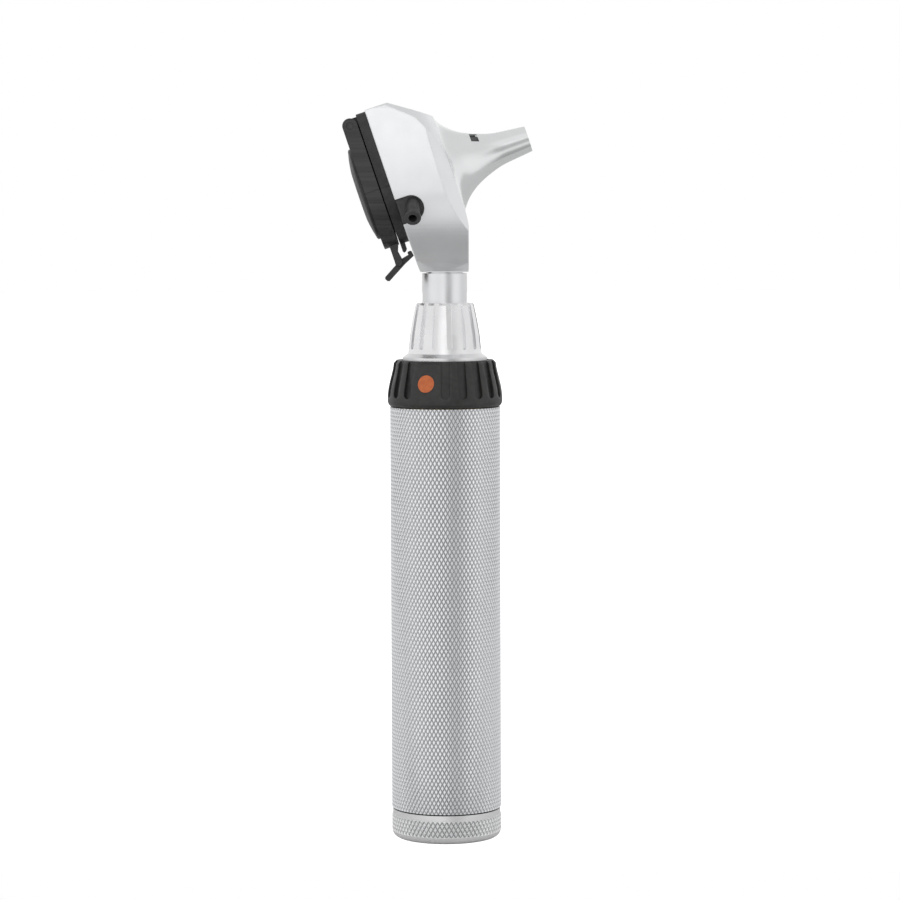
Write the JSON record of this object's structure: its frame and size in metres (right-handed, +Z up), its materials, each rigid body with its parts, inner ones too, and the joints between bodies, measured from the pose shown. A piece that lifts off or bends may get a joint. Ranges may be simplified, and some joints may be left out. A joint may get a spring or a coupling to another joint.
{
  "type": "otoscope",
  "caption": "Battery-handled otoscope: knurled grip, dimmer ring, bayonet collar, metal head with trumpet nose, swing-away magnifier window and air port.",
  "frame": {"origin": "centre of the handle's flat bottom, on the handle's axis", "axes": "+Z up the handle axis to the head, +X to the side the nose cone points to, XZ is the plane of symmetry of the head"},
  "size_m": [0.0509, 0.0384, 0.2002],
  "materials": {
    "grip_metal": "satin, diamond knurl",
    "cap_metal": "satin, diamond knurl with a smooth band",
    "collar_metal": "satin",
    "neck_metal": "smooth satin chrome",
    "housing_metal": "pearl satin chrome",
    "nose_metal": "pearl satin chrome",
    "ring_plastic": "matt black",
    "index_colour": "matt orange",
    "frame_plastic": "satin black",
    "rubber": "matt black",
    "lens_glass": "polished, coated",
    "steel": "brushed",
    "brass": "satin",
    "circuit_board": "satin green",
    "white_plastic": "satin white",
    "black_plastic": "satin black",
    "battery_wrap": "gloss blue film",
    "led_yellow": "gloss",
    "fibre": "polished fibre ends"
  },
  "bodies": {
    "handle": {"handle_tube": "grip_metal", "battery_case": "black_plastic", "battery_cell": "battery_wrap", "protection_board": "circuit_board", "battery_lid": "white_plastic", "battery_positive": "brass", "battery_negative": "brass", "handle_core": "brass", "rheostat_board": "circuit_board", "supply_contact": "brass", "ring_washer": "white_plastic", "bayonet_collar": "collar_metal", "bayonet_pins": "steel", "contact_insulator": "white_plastic", "contact_spring": "steel", "base_seal": "rubber"},
    "base": {"base_cap": "cap_metal", "usb_shell": "steel", "usb_tongue": "black_plastic", "charge_board": "circuit_board", "base_spring": "steel"},
    "dimmer": {"dimmer_ring": "ring_plastic", "index_marker": "index_colour", "wiper_spring": "brass"},
    "plunger": {"contact_plunger": "brass"},
    "neck": {"neck_tube": "neck_metal", "neck_insulator": "white_plastic", "neck_contact": "brass", "led_heatsink": "brass", "led_board": "white_plastic", "led_emitter": "led_yellow", "led_lens": "lens_glass", "neck_circlip": "steel"},
    "head": {"head_housing": "housing_metal", "nose_cone": "nose_metal", "baffle_tube": "black_plastic", "fibre_sleeve": "fibre", "fibre_bundle": "fibre", "fibre_ferrule": "steel", "rear_frame": "frame_plastic", "frame_screws": "steel", "window_seal": "rubber", "insufflation_port": "frame_plastic", "hinge_pin": "steel"},
    "window": {"lens_frame": "frame_plastic", "latch_pin": "steel", "latch_spring": "steel"},
    "latch": {"latch_lever": "frame_plastic"},
    "eyepiece": {"focus_ring": "frame_plastic"},
    "lens": {"lens_cell": "black_plastic", "magnifier_lens": "lens_glass", "lens_retainer": "black_plastic"}
  },
  "joints": [
    {"name": "dimmer_turn", "type": "hinge", "parent": "handle", "child": "dimmer", "pos_m": [0, 0, 0.125], "axis": [0, 0, 1], "range_deg": [0, 150]},
    {"name": "base_cap_off", "type": "slide", "parent": "handle", "child": "base", "axis": [0, 0, -1], "range_m": [0, 0.008]},
    {"name": "contact_press", "type": "slide", "parent": "handle", "child": "plunger", "axis": [0, 0, -1], "range_m": [0, 0.001], "stiffness_N_per_m": 300, "deforming": ["contact_spring"]},
    {"name": "head_lift", "type": "slide", "parent": "handle", "child": "neck", "axis": [0, 0, 1], "range_m": [0, 0.022]},
    {"name": "head_turn", "type": "hinge", "parent": "neck", "child": "head", "pos_m": [0, 0, 0.155], "axis": [0, 0, 1], "range_deg": [0, 45]},
    {"name": "window_swing", "type": "hinge", "parent": "head", "child": "window", "pos_m": [-0.02502, 0, 0.19402], "axis": [0, 1, 0], "range_deg": [0, 105]},
    {"name": "latch_press", "type": "hinge", "parent": "window", "child": "latch", "pos_m": [-0.0124, 0, 0.15749], "axis": [0, 1, 0], "range_deg": [0, 10], "stiffness_Nm_per_rad": 0.01},
    {"name": "focus_turn", "type": "hinge", "parent": "window", "child": "eyepiece", "pos_m": [0.0015, 0, 0.1837], "axis": [0.9483, 0, 0.3173], "range_deg": [0, 90]},
    {"name": "lens_focus", "type": "slide", "parent": "window", "child": "lens", "axis": [0.9483, 0, 0.3173], "range_m": [0, 0.0012]}
  ],
  "couplings": [
    {"joint": "focus_turn", "follows": "lens_focus", "rad_per_m": 1309}
  ]
}
